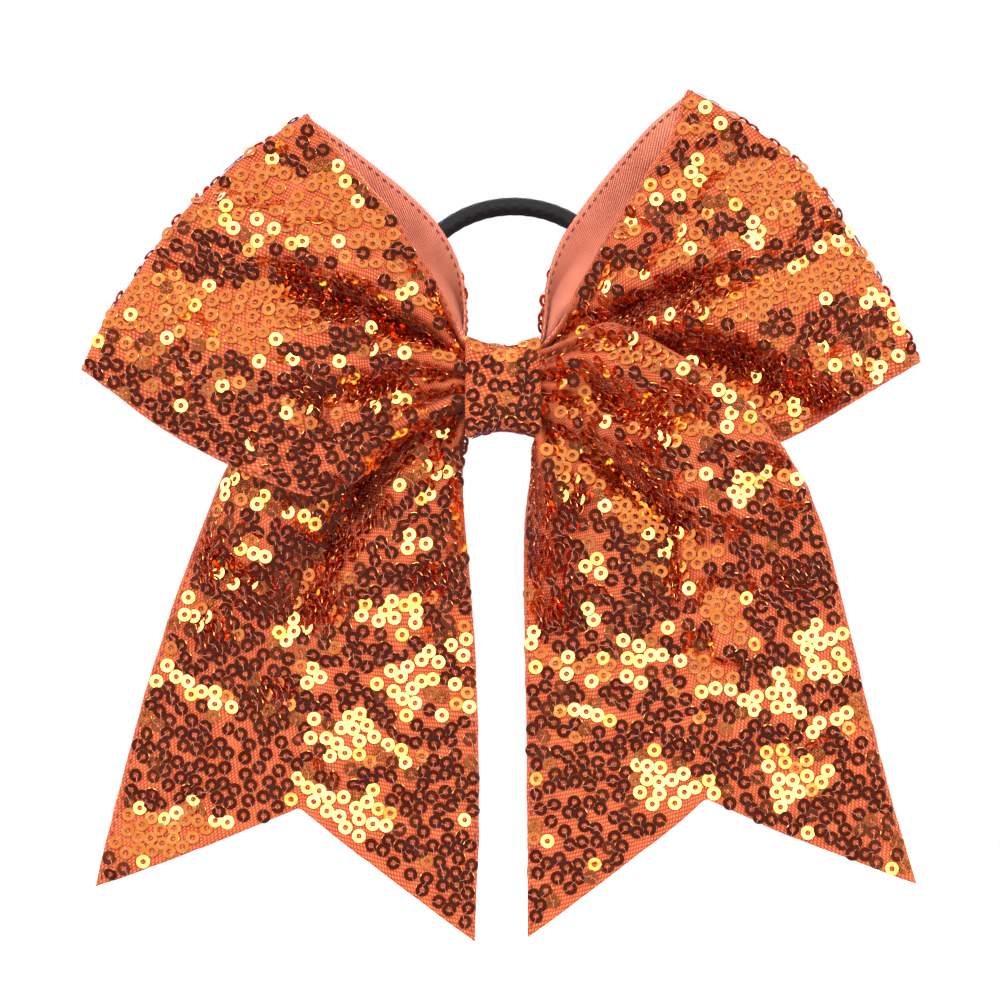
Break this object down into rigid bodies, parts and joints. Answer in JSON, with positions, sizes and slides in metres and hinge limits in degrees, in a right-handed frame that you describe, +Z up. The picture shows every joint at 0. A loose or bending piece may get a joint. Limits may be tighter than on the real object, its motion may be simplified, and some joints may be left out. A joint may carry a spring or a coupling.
{
  "type": "cheer hair bow",
  "caption": "Wide sequined ribbon bow with two folded loops and two V-cut tails, pinched by a wrapped knot on a round hair elastic.",
  "frame": {"origin": "middle of the hair elastic's straight run through the knot, where the bow hangs on a ponytail", "axes": "+Z up as the bow is worn, -Y the sequined front, +X to the right of the front view"},
  "size_m": [0.1654, 0.0344, 0.169],
  "materials": {
    "sequin_cloth": "orange knit cloth covered with small metallic copper-orange ring sequins",
    "ribbed_lining": "salmon ribbed ribbon, satin sheen",
    "stitching": "dark red-brown sewing thread",
    "gather_thread": "pale twisted thread",
    "elastic_braid": "black fine braid, matte",
    "elastic_rubber": "black rubber, matte"
  },
  "bodies": {
    "knot": {"knot_lining": "ribbed_lining", "knot_sequin_cloth": "sequin_cloth", "knot_lapped_end": "sequin_cloth", "knot_hand_stitches": "stitching", "gather_thread": "gather_thread", "front_strip_gather": "sequin_cloth", "middle_strip_gather": "sequin_cloth", "back_strip_gather": "sequin_cloth", "left_tail_upper_lining": "ribbed_lining", "left_tail_upper_sequin_cloth": "sequin_cloth", "right_tail_upper_lining": "ribbed_lining", "right_tail_upper_sequin_cloth": "sequin_cloth"},
    "elastic": {"hair_elastic_sheath": "elastic_braid", "hair_elastic_core": "elastic_rubber", "hair_elastic_joint": "elastic_rubber"},
    "left_loop": {"left_loop_front_lining": "ribbed_lining", "left_loop_front_sequin_cloth": "sequin_cloth", "left_loop_front_edge_stitching": "stitching", "left_loop_back_lining": "ribbed_lining", "left_loop_back_sequin_cloth": "sequin_cloth", "left_loop_back_edge_stitching": "stitching"},
    "left_tail": {"left_tail_lining": "ribbed_lining", "left_tail_sequin_cloth": "sequin_cloth", "left_tail_edge_stitching": "stitching"},
    "right_loop": {"right_loop_front_lining": "ribbed_lining", "right_loop_front_sequin_cloth": "sequin_cloth", "right_loop_front_edge_stitching": "stitching", "right_loop_back_lining": "ribbed_lining", "right_loop_back_sequin_cloth": "sequin_cloth", "right_loop_back_edge_stitching": "stitching"},
    "right_tail": {"right_tail_lining": "ribbed_lining", "right_tail_sequin_cloth": "sequin_cloth", "right_tail_edge_stitching": "stitching"}
  },
  "joints": [
    {"name": "left_loop_flex", "type": "hinge", "parent": "knot", "child": "left_loop", "pos_m": [-0.012, -0.006, 0], "axis": [0, 0, -1], "range_deg": [-8, 7], "stiffness_Nm_per_rad": 0.006},
    {"name": "right_loop_flex", "type": "hinge", "parent": "knot", "child": "right_loop", "pos_m": [0.012, -0.006, 0], "axis": [0, 0, 1], "range_deg": [-3, 12], "stiffness_Nm_per_rad": 0.006},
    {"name": "left_tail_swing", "type": "hinge", "parent": "knot", "child": "left_tail", "pos_m": [-0.034, -0.0075, -0.026], "axis": [-1, 0, 0], "range_deg": [-50, 50], "stiffness_Nm_per_rad": 0.004},
    {"name": "right_tail_swing", "type": "hinge", "parent": "knot", "child": "right_tail", "pos_m": [0.034, -0.0115, -0.026], "axis": [-1, 0, 0], "range_deg": [-50, 50], "stiffness_Nm_per_rad": 0.004},
    {"name": "elastic_turn", "type": "hinge", "parent": "knot", "child": "elastic", "pos_m": [0, 0, 0], "axis": [-1, 0, 0], "range_deg": [0, 100]}
  ]
}
